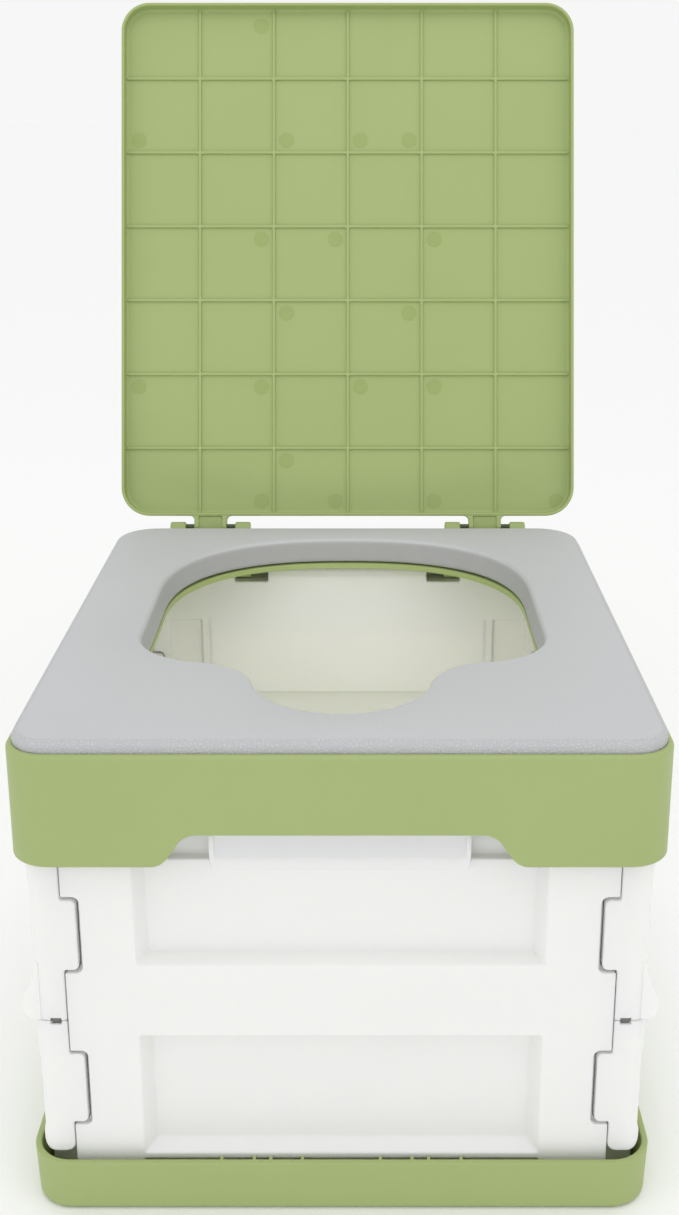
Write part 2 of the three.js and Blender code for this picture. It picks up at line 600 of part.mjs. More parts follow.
const lidSwing = new THREE.Group();
lidSwing.position.copy(lidAxis);
lidSwing.rotation.x = -THREE.MathUtils.degToRad(90 + LID_LEAN_DEG);
const lidMesh = mesh('lid', lid(), GREEN, 0.5);
lidMesh.position.copy(lidAxis).negate();
lidSwing.add(lidMesh);
object.add(lidSwing);

export default object;
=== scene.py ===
import bmesh
import bpy
import math

from mathutils import Matrix, Vector


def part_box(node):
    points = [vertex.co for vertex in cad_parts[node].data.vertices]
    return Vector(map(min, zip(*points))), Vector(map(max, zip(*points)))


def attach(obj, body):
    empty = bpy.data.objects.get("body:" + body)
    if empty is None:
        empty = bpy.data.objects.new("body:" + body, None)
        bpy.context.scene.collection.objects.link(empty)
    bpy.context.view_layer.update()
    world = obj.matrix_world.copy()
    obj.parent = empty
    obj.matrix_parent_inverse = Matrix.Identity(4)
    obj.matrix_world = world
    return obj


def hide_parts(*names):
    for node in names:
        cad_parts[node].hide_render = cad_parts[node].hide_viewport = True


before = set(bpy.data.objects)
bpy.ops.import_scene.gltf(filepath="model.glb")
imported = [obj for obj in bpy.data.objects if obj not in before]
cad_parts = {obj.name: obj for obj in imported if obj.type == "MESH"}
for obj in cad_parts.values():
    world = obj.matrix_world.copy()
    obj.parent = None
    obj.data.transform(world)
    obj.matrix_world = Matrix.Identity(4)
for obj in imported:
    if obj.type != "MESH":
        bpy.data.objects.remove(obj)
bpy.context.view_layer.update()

# ------------------------------------------------------------------ base tray
# One injection moulding in green polypropylene: a shallow tray with a rounded foot, a thin rim and short
# stiffening ribs behind its front and rear walls. Its sides lean out a little so that it leaves the mould.
mm = 0.001
tray_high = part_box("base_tray")[1]
half_width = tray_high.x
half_depth = tray_high.y
corner_radius = 21 * mm


def rounded_plan(half_x, y0, y1, front_r, rear_r, steps=12):
    """A rectangle with round corners, anticlockwise from the front right corner."""
    corners = [(half_x - front_r, y0 + front_r, front_r, -90), (half_x - rear_r, y1 - rear_r, rear_r, 0),
               (rear_r - half_x, y1 - rear_r, rear_r, 90), (front_r - half_x, y0 + front_r, front_r, 180)]
    plan = []
    for cx, cy, r, start in corners:
        for i in range(steps + 1):
            a = math.radians(start + 90 * i / steps)
            plan.append((cx + r * math.cos(a), cy + r * math.sin(a)))
    return plan


def arc(cx, cy, r, start, end, steps):
    """Points on an arc, with the angles in degrees."""
    turns = [math.radians(start + (end - start) * i / steps) for i in range(steps + 1)]
    return [(cx + r * math.cos(a), cy + r * math.sin(a)) for a in turns]


def new_piece(name, mesh_builder, smooth_below=35):
    """An object from a bmesh, smooth except across edges sharper than smooth_below degrees."""
    mesh = bpy.data.meshes.new(name)
    mesh_builder.to_mesh(mesh)
    mesh_builder.free()
    mesh.shade_smooth()
    mesh.set_sharp_from_angle(angle=math.radians(smooth_below))
    piece = bpy.data.objects.new(name, mesh)
    bpy.context.scene.collection.objects.link(piece)
    return piece


def ring_skin(rings, capped=True):
    """A shell through rings with equal numbers of points. Flat faces close its ends, or it closes on itself."""
    build = bmesh.new()
    loops = [[build.verts.new(point) for point in ring] for ring in rings]
    count = len(loops[0])
    pairs = list(zip(loops, loops[1:]))
    if not capped:
        pairs.append((loops[-1], loops[0]))
    for a, b in pairs:
        for i in range(count):
            j = (i + 1) % count
            build.faces.new((a[i], a[j], b[j], b[i]))
    if capped:
        build.faces.new(loops[0])
        build.faces.new(loops[-1])
    bmesh.ops.recalc_face_normals(build, faces=build.faces)
    return build


def moulded_rings(profile, plan_at):
    """One ring for each (inset, height) of the profile."""
    return [[(x, y, z) for x, y in plan_at(inset)] for inset, z in profile]


def tray_plan(inset):
    """The tray's outline, moved inwards by inset."""
    r = max(corner_radius - inset, 2 * mm)
    return rounded_plan(half_width - inset, inset - half_depth, half_depth - inset, r, r)


tray_wall = 3.4 * mm
tray_floor = 3 * mm
tray_draft = 1 * mm
foot_radius = 3 * mm
rim_z = tray_high.z
rim_round = 0.9 * mm
tray_profile = arc(tray_draft + foot_radius, foot_radius, foot_radius, 270, 180, 6)
tray_profile += arc(rim_round, rim_z - rim_round, rim_round, 180, 90, 4)
tray_profile += arc(tray_wall - rim_round, rim_z - rim_round, rim_round, 90, 0, 4)
tray_profile += arc(tray_wall + tray_draft + 2 * mm, tray_floor + 2 * mm, 2 * mm, 180, 270, 4)
base_tray = new_piece("base_tray_moulding", ring_skin(moulded_rings(tray_profile, tray_plan)))


def add_node(tree, kind, settings=None, **inputs):
    """Adds a node, sets its own settings, and sets or links its inputs. An input is named by its socket's name,
    such as From_Min, or where names repeat by its socket's number, such as i6."""
    node = tree.nodes.new(kind)
    for key, value in (settings or {}).items():
        setattr(node, key, value)
    for key, value in inputs.items():
        by_number = key[0] == "i" and key[1:].isdigit()
        socket = node.inputs[int(key[1:]) if by_number else key.replace("_", " ")]
        if isinstance(value, bpy.types.NodeSocket):
            tree.links.new(value, socket)
        else:
            socket.default_value = value
    return node


def linear_colour(hex_value):
    """An sRGB hex colour as the linear colour that shader sockets take."""
    channels = [((hex_value >> shift) & 255) / 255 for shift in (16, 8, 0)]
    return [c / 12.92 if c <= 0.04045 else ((c + 0.055) / 1.055) ** 2.4 for c in channels] + [1.0]


def moulded_polypropylene(name, colour, deeper, roughness, grain_mm, grain_height_mm, glow=0.0):
    """Injection-moulded polypropylene: slow, cloudy changes of tone from the melt's flow, and the fine matt
    texture of a spark-eroded mould. The texture is drawn coarser than the real 0.1 mm so that it shows.
    The glow is the light that a thin wall lets through."""
    material = bpy.data.materials.new(name)
    material.use_nodes = True
    tree = material.node_tree
    shader = tree.nodes["Principled BSDF"]
    shader.inputs["IOR"].default_value = 1.49
    if glow:
        shader.inputs["Subsurface Weight"].default_value = glow
        shader.inputs["Subsurface Radius"].default_value = (1.0, 0.95, 0.75)
        shader.inputs["Subsurface Scale"].default_value = 9 * mm
    place = add_node(tree, "ShaderNodeTexCoord").outputs["Object"]
    clouds_per_metre = 9.0
    flow = add_node(tree, "ShaderNodeTexNoise", Vector=place, Scale=clouds_per_metre, Detail=3.0,
                    Roughness=0.55, Distortion=0.6)
    tone = add_node(tree, "ShaderNodeMix", {"data_type": "RGBA"}, i0=flow.outputs[0],
                    i6=linear_colour(colour), i7=linear_colour(deeper))
    tree.links.new(tone.outputs[2], shader.inputs["Base Color"])
    grain = add_node(tree, "ShaderNodeTexNoise", Vector=place, Scale=1 / (grain_mm * mm), Detail=2.0,
                     Roughness=0.6)
    uneven = 0.05
    sheen = add_node(tree, "ShaderNodeMapRange", Value=flow.outputs[0], From_Min=0.3, From_Max=0.7,
                     To_Min=roughness - uneven, To_Max=roughness + uneven)
    tree.links.new(sheen.outputs["Result"], shader.inputs["Roughness"])
    relief = add_node(tree, "ShaderNodeBump", Height=grain.outputs[0], Distance=grain_height_mm * mm,
                      Strength=0.5)
    tree.links.new(relief.outputs["Normal"], shader.inputs["Normal"])
    return material


green_polypropylene = moulded_polypropylene("matt_green_polypropylene", 0xA4B474, 0x9FAF6E, 0.46, 0.7, 0.03)


def made_real(piece):
    """Turns the piece's modifiers into plain mesh."""
    bpy.context.view_layer.update()
    seen = piece.evaluated_get(bpy.context.evaluated_depsgraph_get())
    mesh = bpy.data.meshes.new_from_object(seen)
    piece.modifiers.clear()
    piece.data = mesh
    return piece


def grown(name, places, draw, material, **sizes):
    """Geometry Nodes: the sizes are the tree's inputs, draw makes its geometry from them and from the places,
    and the result is real mesh in its material."""
    mesh = bpy.data.meshes.new(name)
    mesh.from_pydata(places, [], [])
    host = bpy.data.objects.new(name, mesh)
    bpy.context.scene.collection.objects.link(host)
    tree = bpy.data.node_groups.new(name + "_tree", "GeometryNodeTree")
    tree.interface.new_socket("Geometry", in_out="INPUT", socket_type="NodeSocketGeometry")
    kinds = {int: "NodeSocketInt", float: "NodeSocketFloat", tuple: "NodeSocketVector"}
    sockets = {key: tree.interface.new_socket(key.replace("_", " ").capitalize(), in_out="INPUT",
                                              socket_type=kinds[type(size)]) for key, size in sizes.items()}
    tree.interface.new_socket("Geometry", in_out="OUTPUT", socket_type="NodeSocketGeometry")
    into = tree.nodes.new("NodeGroupInput")
    given = {key: into.outputs[socket.name] for key, socket in sockets.items()}
    real = add_node(tree, "GeometryNodeRealizeInstances", Geometry=draw(tree, into.outputs["Geometry"], given))
    painted = add_node(tree, "GeometryNodeSetMaterial", Geometry=real.outputs["Geometry"], Material=material)
    out = tree.nodes.new("NodeGroupOutput")
    tree.links.new(painted.outputs["Geometry"], out.inputs["Geometry"])
    make = host.modifiers.new("grown", "NODES")
    make.node_group = tree
    for key, size in sizes.items():
        make[sockets[key].identifier] = size
    return made_real(host)


def joined(name, *pieces):
    """Several meshes as one object."""
    build = bmesh.new()
    for piece in pieces:
        build.from_mesh(piece.data)
    mesh = pieces[0].data.copy()
    build.to_mesh(mesh)
    build.free()
    for piece in pieces[1:]:
        bpy.data.objects.remove(piece)
    pieces[0].data = mesh
    pieces[0].name = name
    return pieces[0]


def settle(piece, body, slot, material, *nodes):
    """Gives a finished piece flat-looking flats, its material and its place in the frame."""
    flats = piece.modifiers.new("flats", "WEIGHTED_NORMAL")
    flats.mode = "FACE_AREA"
    flats.weight = 90
    flats.keep_sharp = True
    made_real(piece)
    piece.data.materials.clear()
    piece.data.materials.append(material)
    for polygon in piece.data.polygons:
        polygon.material_index = 0
    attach(piece, body)
    if nodes:
        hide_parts(*nodes)


def tray_ribs(tree, places, given):
    """One upright rib at each place."""
    rib = add_node(tree, "GeometryNodeMeshCube", Size=given["rib_size"])
    return add_node(tree, "GeometryNodeInstanceOnPoints", Points=places,
                    Instance=rib.outputs["Mesh"]).outputs["Instances"]


def rib_row(name, y0, y1):
    """The ribs behind one end wall of the tray, from y0 to y1."""
    return grown(name, [(x, (y0 + y1) / 2, (rib_foot + rib_head) / 2) for x in rib_xs], tray_ribs,
                 green_polypropylene, rib_size=(tray_rib_thick, y1 - y0, rib_head - rib_foot))


rib_xs = [side * x * mm for side in (-1, 1) for x in (20, 36.3, 44.8, 61.5)]
panel_face = 173 * mm
panel_room = 1.2 * mm
sunk = 1 * mm
tray_rib_thick = 1.6 * mm
rib_foot, rib_head = tray_floor - sunk, rim_z - 1.2 * mm
front_ribs = rib_row("front_ribs", tray_wall - sunk - half_depth, -panel_face - panel_room)
rear_ribs = rib_row("rear_ribs", panel_face + panel_room, half_depth - tray_wall + sunk)
base_tray = joined("base_tray_moulding", base_tray, front_ribs, rear_ribs)
settle(base_tray, "frame", "green_plastic", green_polypropylene, "base_tray")

# ------------------------------------------------------------------ side walls
# Each side is two white polypropylene mouldings that fold inwards about a rod between them. The upper one ends
# in a flared grip lip, both have tabs that lock into the end panels, and their inner faces are open cells.
upper_low, upper_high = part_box("side_upper_right")
lower_low, lower_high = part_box("side_lower_right")
wall_outer = lower_high.x
wall_inner = wall_outer - 17 * mm
wall_end = upper_high.y
tab_inner = upper_low.x
split_z = upper_low.z


def prism(plan, low, high, axis="Z"):
    """A solid with the outline plan, running along axis from low to high."""
    places = {"Z": lambda a, b, c: (a, b, c), "Y": lambda a, b, c: (a, c, b), "X": lambda a, b, c: (c, a, b)}
    rings = [[places[axis](a, b, c) for a, b in plan] for c in (low, high)]
    return new_piece("prism", ring_skin(rings))


def round_bar(a, b, radius, low, high, axis, sides=24):
    """A round solid whose centre line passes through (a, b), for a rod or a bore."""
    return prism(arc(a, b, radius, 0, 360 - 360 / sides, sides - 1), low, high, axis)


def block(x0, x1, y0, y1, z0, z1):
    """A plain box between two corners, for a cutting tool or the floor."""
    return prism([(x0, y0), (x1, y0), (x1, y1), (x0, y1)], z0, z1)


def tapered_pocket(x_range, z_range, y_mouth, y_floor, slope_side, slope_low, slope_top):
    """A recess in a face that looks along Y, with sloping sides."""
    (x0, x1), (z0, z1) = x_range, z_range
    mouth = [(x0, y_mouth, z0), (x1, y_mouth, z0), (x1, y_mouth, z1), (x0, y_mouth, z1)]
    floor = [(x0 + slope_side, y_floor, z0 + slope_low), (x1 - slope_side, y_floor, z0 + slope_low),
             (x1 - slope_side, y_floor, z1 - slope_top), (x0 + slope_side, y_floor, z1 - slope_top)]
    return new_piece("pocket", ring_skin([mouth, floor]))


def carved(piece, cuts=(), joins=(), bounds=()):
    """Joins solid tools to a piece, keeps what lies in the bounds, and cuts the rest of the tools from it. The
    tools are used up, and the piece is shaded again."""
    for operation, tools in (("UNION", joins), ("INTERSECT", bounds), ("DIFFERENCE", cuts)):
        for tool in tools:
            step = piece.modifiers.new("step", "BOOLEAN")
            step.operation = operation
            step.solver = "EXACT"
            step.object = tool
    made_real(piece)
    for tool in [*joins, *bounds, *cuts]:
        bpy.data.objects.remove(tool)
    piece.data.shade_smooth()
    piece.data.set_sharp_from_angle(angle=math.radians(35))
    return piece


def edges_eased(piece, radius, segments=3, sharper_than=30):
    """Rounds every sharp edge, as a mould's edges are. Slivers that the cuts leave are cleared first."""
    sliver = 2e-6
    build = bmesh.new()
    build.from_mesh(piece.data)
    bmesh.ops.remove_doubles(build, verts=build.verts, dist=sliver)
    bmesh.ops.dissolve_degenerate(build, edges=build.edges, dist=sliver)
    build.to_mesh(piece.data)
    build.free()
    ease = piece.modifiers.new("eased", "BEVEL")
    ease.width = radius
    ease.segments = segments
    ease.limit_method = "ANGLE"
    ease.angle_limit = math.radians(sharper_than)
    ease.use_clamp_overlap = False
    ease.miter_outer = "MITER_ARC"
    made_real(piece)
    piece.data.shade_smooth()
    piece.data.set_sharp_from_angle(angle=math.radians(sharper_than))
    return piece


def mirrored(piece, side):
    """The left-hand copy of a piece drawn for the right, when side is -1."""
    if side < 0:
        build = bmesh.new()
        build.from_mesh(piece.data)
        bmesh.ops.scale(build, vec=(-1, 1, 1), verts=build.verts)
        bmesh.ops.reverse_faces(build, faces=build.faces)
        build.to_mesh(piece.data)
        build.free()
    return piece


def wall_blank(z0, z1):
    """A plain wall half with its two outer corners rounded."""
    r = 8 * mm
    plan = [(wall_inner, -wall_end)] + arc(wall_outer - r, r - wall_end, r, -90, 0, 8)
    plan += arc(wall_outer - r, wall_end - r, r, 0, 90, 8) + [(wall_inner, wall_end)]
    return prism(plan, z0, z1)


def wall_field(z0, z1, slope_low, slope_top):
    """The shallow outer recess of a wall, which runs out at both ends, with long slopes above and below."""
    depth = 1.6 * mm
    proud = 0.4 * mm
    floor_x, mouth_x = wall_outer - depth, wall_outer + proud
    over = 1 + proud / depth
    outline = [(mouth_x, z0), (floor_x, z0 + slope_low * over), (floor_x, z1 - slope_top * over),
               (mouth_x, z1)]
    return prism(outline, -wall_end - mm, wall_end + mm, "Y")


def wall_cells(z0, z1):
    """The four open cells in a wall's inner face, between upright ribs."""
    cells = 4
    rib = 3 * mm
    skin = 4.2 * mm
    y_end = wall_end - 26 * mm
    step = (2 * y_end + rib) / cells
    starts = [-y_end + i * step for i in range(cells)]
    ends = [-y_end + (i + 1) * step - rib for i in range(cells)]
    return [block(wall_inner - mm, wall_outer - skin, y0, y1, z0, z1) for y0, y1 in zip(starts, ends)]


def tabs(z0, z1):
    """The two tabs of a wall, at its front and rear ends."""
    r = 3 * mm
    plan = [(wall_inner + mm, z0), (wall_inner + mm, z1)] + arc(tab_inner + r, z1 - r, r, 90, 180, 5)
    plan += arc(tab_inner + r, z0 + r, r, 180, 270, 5)
    deep = 16 * mm
    return [prism(plan, -wall_end, deep - wall_end, "Y"), prism(plan, wall_end - deep, wall_end, "Y")]


rod_low, rod_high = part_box("mid_hinge_rod_right")
rod_x = (rod_low.x + rod_high.x) / 2
rod_z = (rod_low.z + rod_high.z) / 2
rod_r = (rod_high.x - rod_low.x) / 2
end_skin = 1.6 * mm


def rod_groove():
    """The round channel for the middle rod, with a small window in each end of the wall."""
    play = 0.4 * mm
    half_wide, half_high = 2.8 * mm, 1.9 * mm
    x0, x1 = rod_x - half_wide, rod_x + half_wide
    z0, z1 = rod_z - half_high, rod_z + half_high
    return [round_bar(rod_x, rod_z, rod_r + play, end_skin - wall_end, wall_end - end_skin, "Y", 48),
            block(x0, x1, -wall_end - mm, end_skin + mm - wall_end, z0, z1),
            block(x0, x1, wall_end - end_skin - mm, wall_end + mm, z0, z1)]


def grip_lip():
    """Section of the grip lip: a long hollow curve out of the recess, then a full nose that turns under."""
    crest_z, nose_z = split_z + 32.4 * mm, split_z + 9.4 * mm
    base_x, nose_x = wall_outer - 1.9 * mm, upper_high.x - 1.6 * mm
    section = []
    curve_steps, nose_steps = 14, 8
    for i in range(curve_steps + 1):
        t = i / curve_steps
        u = t ** 1.4
        section.append((base_x + (nose_x - base_x) * u * u * (3 - 2 * u), crest_z + (nose_z - crest_z) * t))
    under_x, under_z = wall_outer - 0.4 * mm, split_z + 0.6 * mm
    for i in range(1, nose_steps + 1):
        a = math.radians(90 * i / nose_steps)
        section.append((under_x + (nose_x - under_x) * math.cos(a), nose_z - (nose_z - under_z) * math.sin(a)))
    sunk_x = wall_outer - 4 * mm
    section += [(sunk_x, under_z), (sunk_x, crest_z + 0.5 * mm)]
    set_back = 0.5 * mm
    return prism(section, set_back - wall_end, wall_end - set_back, "Y")


grey_acetal = moulded_polypropylene("smooth_grey_acetal", 0x7E7E7A, 0x747470, 0.35, 0.6, 0.01)
white_polypropylene = moulded_polypropylene("satin_white_polypropylene", 0xF1F1F0, 0xEEEEEC, 0.42, 0.8, 0.02,
                                            glow=0.35)
heel = 22 * mm
heel_top = 30 * mm
heel_r = 5.5 * mm
inner_heel_r = 4.5 * mm
for side, hand in ((-1, "left"), (1, "right")):
    # lower half: clear of the tray's rim at each end, with a rounded heel
    lower = wall_blank(lower_low.z, lower_high.z)
    cuts = [wall_field(36 * mm, 94 * mm, 7 * mm, 7.5 * mm)] + wall_cells(23 * mm, lower_high.z - 13 * mm)
    for end in (-1, 1):
        y0, y1 = sorted((end * (wall_end - heel), end * (wall_end + mm)))
        low_plan = [(wall_inner - mm, 0), (wall_outer + mm, 0), (wall_outer + mm, heel_top + heel_r)]
        low_plan += arc(wall_outer - heel_r, heel_top + heel_r, heel_r, 0, -90, 4)
        low_plan += arc(wall_inner + inner_heel_r, heel_top + inner_heel_r, inner_heel_r, 270, 180, 4)
        low_plan += [(wall_inner - mm, heel_top + inner_heel_r)]
        cuts.append(prism(low_plan, y0, y1, "Y"))
    carved(lower, cuts, tabs(split_z - 60 * mm, split_z - 19.6 * mm))
    carved(edges_eased(lower, 0.8 * mm), rod_groove())
    mirrored(lower, side)
    lower.name = f"side_wall_lower_{hand}"
    settle(lower, "frame", "white_plastic", white_polypropylene, f"side_lower_{hand}")

    # upper half: the grip lip swells out of the face and turns under at the foot
    upper = wall_blank(upper_low.z, upper_high.z)
    cuts = [wall_field(split_z + 10 * mm, 203 * mm, 4 * mm, 15 * mm)]
    cuts += wall_cells(split_z + 13 * mm, upper_high.z - 20 * mm)
    carved(upper, cuts, tabs(split_z + 28.8 * mm, split_z + 67.7 * mm))
    carved(edges_eased(upper, 1.0 * mm), rod_groove(), [edges_eased(grip_lip(), 0.4 * mm)])
    mirrored(upper, side)
    upper.name = f"side_wall_upper_{hand}"
    settle(upper, "frame", "white_plastic", white_polypropylene, f"side_upper_{hand}")

    # the middle rod, a little shorter than its channel
    rod_end = wall_end - end_skin - 0.3 * mm
    rod = round_bar(rod_x, rod_z, rod_r, -rod_end, rod_end, "Y", 48)
    edges_eased(mirrored(rod, side), 0.4 * mm, 2)
    rod.name = f"middle_rod_{hand}"
    settle(rod, "frame", "hinge_plastic", grey_acetal, f"mid_hinge_rod_{hand}")

# ------------------------------------------------------------------ end panels
# The front and back panels are the same white polypropylene moulding: proud stiles and middle band round two
# recessed fields with sloping sides. The front one also has a grip box at the top. Both hang from short pins in
# the frame, and their edges are notched for the walls' tabs.
panel_low, panel_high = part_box("front_panel")
panel_half = panel_high.x + 0.35 * mm
panel_pin_y = 165 * mm
panel_axis = Vector((0, -panel_pin_y, 233 * mm))
panel_thick = 16 * mm
stile = 35 * mm
field_deep = 8.5 * mm
field_slope = 5.5 * mm
panel_skin = 2.6 * mm
band_low, band_top = split_z - 8.9 * mm, split_z + 31.5 * mm
foot_slope = 3.6 * mm
ledge_z = 193.6 * mm
notch_gap = 1.8 * mm
notch_deep = 5 * mm
tab_clearance = 0.5 * mm
notch_r = 3.4 * mm
pocket_deep = 4.5 * mm
pocket_top = 200.6 * mm
head_r = 7 * mm
pin_bore_r = 2 * mm


def end_panel(with_grip):
    """A panel drawn at the front. Cuts narrower than the rounding of the edges come after it, as fine ones."""
    outer = -panel_face
    inner = panel_thick - panel_face
    field = panel_half - stile
    field_y = outer + field_deep
    hinge_y, hinge_z = panel_axis.y, panel_axis.z
    foot = panel_low.z
    neck_z = hinge_z - 2 * mm
    head = arc(hinge_y, hinge_z, head_r, 0, 180, 12)
    side_plan = [(outer, foot), (inner, foot), (inner, neck_z)] + head + [(outer, neck_z)]
    panel = prism(side_plan, -panel_half, panel_half, "X")
    field_top = hinge_z - head_r - panel_skin
    before = outer - 0.2 * mm
    wide = (-field, field)
    behind = inner + 0.2 * mm
    niche_y = field_y + 4.9 * mm
    steep = 1 * mm
    cuts = [
        tapered_pocket(wide, (28.8 * mm, band_low), before, field_y, field_slope, foot_slope, steep),
        tapered_pocket(wide, (band_top, field_top), before, field_y, field_slope, foot_slope, steep),
        block(field_slope - field, field - field_slope, field_y - mm, niche_y, ledge_z, field_top - mm),
        block(-field, field, outer - mm, outer + 5 * mm, foot - mm, 25.2 * mm),
        tapered_pocket((6 * mm - field, field - 6 * mm), (band_low + panel_skin, band_top + 6.6 * mm),
                       behind, inner - pocket_deep, steep, steep, steep),
    ]
    fine = []
    stile_end = tab_inner - notch_gap - panel_skin
    for side in (-1, 1):
        x0, x1 = sorted((side * field, side * stile_end))
        cuts.append(tapered_pocket((x0, x1), (foot + panel_skin, pocket_top), behind, inner - pocket_deep,
                                   1.2 * mm, steep, steep))
        x0, x1 = sorted((side * (field - 5.8 * mm), side * (field - 4 * mm)))
        fine.append(block(x0, x1, inner - 1.2 * mm, inner + mm, foot + panel_skin, pocket_top))
        for tab_foot, tab_head in ((-60 * mm, -19.6 * mm), (28.8 * mm, 67.7 * mm)):
            z0 = split_z + tab_foot - notch_gap
            z1 = split_z + tab_head + notch_gap
            for group, gap, y_end in ((cuts, notch_gap, outer + notch_deep), (fine, tab_clearance, inner + mm)):
                reach = tab_inner - gap
                plan = [(panel_half + mm, z0), (panel_half + mm, z1)]
                plan += arc(reach + notch_r, z1 - notch_r, notch_r, 90, 180, 5)
                plan += arc(reach + notch_r, z0 + notch_r, notch_r, 180, 270, 5)
                group.append(prism([(side * x, z) for x, z in plan], outer - mm, y_end, "Y"))
        x0, x1 = sorted((side * 55 * mm, side * 78 * mm))
        cuts.append(block(x0, x1, outer - mm, inner + mm, hinge_z - 4.4 * mm, hinge_z + head_r + mm))
        x0, x1 = sorted((side * 51.6 * mm, side * 80.4 * mm))
        fine.append(round_bar(hinge_y, hinge_z, pin_bore_r, x0, x1, "X"))
    carved(edges_eased(carved(panel, cuts), 0.9 * mm), fine)
    if with_grip:
        half, top = 63.5 * mm, 211.6 * mm
        lip_z, run_out = top - 9 * mm, 18 * mm
        side_plan = [(field_y + 5.5 * mm, top), (outer, top), (outer, lip_z)]
        curve_steps = 12
        for i in range(1, curve_steps + 1):
            t = i / curve_steps
            side_plan.append((outer + (field_deep + 0.6 * mm) * t * t * (3 - 2 * t), lip_z - run_out * t))
        box = prism(side_plan, -half, half, "X")
        wall = 2.4 * mm
        hollow = block(wall - half, half - wall, outer + wall, niche_y, top - 14 * mm, top + mm)
        border = 2.6 * mm
        face_deep = 1.1 * mm
        face = block(border - half, half - border, outer - mm, outer + face_deep, top - 30 * mm, top - 1.3 * mm)
        carved(panel, [hollow, face], [edges_eased(box, 1.4 * mm, 4)])
    return panel


front_panel = end_panel(True)
front_panel.name = "front_panel_moulding"
settle(front_panel, "front_panel", "white_plastic", white_polypropylene, "front_panel")
back_panel = end_panel(False)
back_panel.data.transform(Matrix.Rotation(math.pi, 4, "Z"))
back_panel.name = "back_panel_moulding"
settle(back_panel, "back_panel", "white_plastic", white_polypropylene, "back_panel")

# ------------------------------------------------------------------ hinge pins
# Short moulded acetal pins, which show only as small ends: grey ones in the walls and end panels, dark green
# ones in the lid's hinge. They keep their solids from the frame and take a smooth, slightly glossy finish.
dark_acetal = moulded_polypropylene("smooth_dark_green_acetal", 0x4A5736, 0x414D2F, 0.35, 0.6, 0.01)
for name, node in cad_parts.items():
    if "pin" in name:
        node.data.materials.clear()
        node.data.materials.append(dark_acetal if "lid" in name else grey_acetal)

# ------------------------------------------------------------------ top frame
# One green polypropylene moulding: a deep skirt with a finger cut-out at the front, a rim round the pad,
# a deck with the seat hole, and four round ears for the lid's hinge at the back.
pad_low, pad_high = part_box("seat_pad")
rim_top = 256 * mm
deck_top = pad_low.z - 0.4 * mm
deck_under = deck_top - 3.5 * mm
skirt_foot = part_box("top_frame")[0].z
frame_wall = 3.2 * mm


def seat_hole(offset, steps=12):
    """Outline of the seat hole, moved outwards by offset: a front scoop, concave necks, shoulders and a full
    rear."""
    half = 113 * mm + offset
    rear_y = half_depth - 139 * mm
    scoop_y = 83.6 * mm - half_depth
    scoop_r = 46.5 * mm + offset
    shoulder = Vector((71 * mm, scoop_y + 63 * mm))
    shoulder_r = 42 * mm + offset
    neck_r = 35 * mm - offset
    scoop = Vector((0, scoop_y))
    across = shoulder - scoop
    d = across.length
    near, far = scoop_r + neck_r, shoulder_r + neck_r
    along = (near ** 2 - far ** 2 + d ** 2) / (2 * d)
    off = math.sqrt(near ** 2 - along ** 2)
    unit = across / d
    neck = scoop + unit * along + Vector((unit.y, -unit.x)) * off
    to_scoop = math.degrees(math.atan2(scoop.y - neck.y, scoop.x - neck.x))
    to_shoulder = math.degrees(math.atan2(shoulder.y - neck.y, shoulder.x - neck.x))
    right = arc(0, scoop_y, scoop_r, -90, to_scoop - 180, steps)
    right += arc(neck.x, neck.y, neck_r, to_scoop, to_shoulder, steps)[1:]
    right += arc(shoulder.x, shoulder.y, shoulder_r, to_shoulder - 180, 0, steps)[1:]
    rear_steps = 2 * steps
    rear_reach = 106.7 * mm + offset
    fullness = 2 / 2.4
    for i in range(rear_steps + 1):
        t = math.radians(90 * i / rear_steps)
        right.append((half * math.cos(t) ** fullness, rear_y + rear_reach * math.sin(t) ** fullness))
    left = [(-x, y) for x, y in reversed(right[1:-1])]
    return right + left


def skirt_cutout():
    """The finger cut-out in the skirt's front: an S-shaped rise at each end, made of two arcs."""
    top_x, rise = 68.2 * mm, 17 * mm
    r, steep = 11 * mm, 56
    sine, cosine = math.sin(math.radians(steep)), math.cos(math.radians(steep))
    straight = (rise - 2 * r * (1 - cosine)) / sine
    foot_x = top_x + 2 * r * sine + straight * cosine
    foot_z = skirt_foot - 0.1 * mm
    right = [(foot_x + 3 * mm, skirt_foot - 2 * mm), (foot_x + 3 * mm, foot_z)]
    right += arc(foot_x, foot_z + r, r, -90, -90 - steep, 8)
    right += arc(top_x, skirt_foot + rise - r, r, 90 - steep, 90, 8)
    return right + [(-x, z) for x, z in reversed(right)]


def frame_plan(inset):
    """The top frame's outline, moved inwards by inset."""
    r = corner_radius - inset
    return rounded_plan(half_width - inset, inset - half_depth, half_depth - inset, r, r, 16)


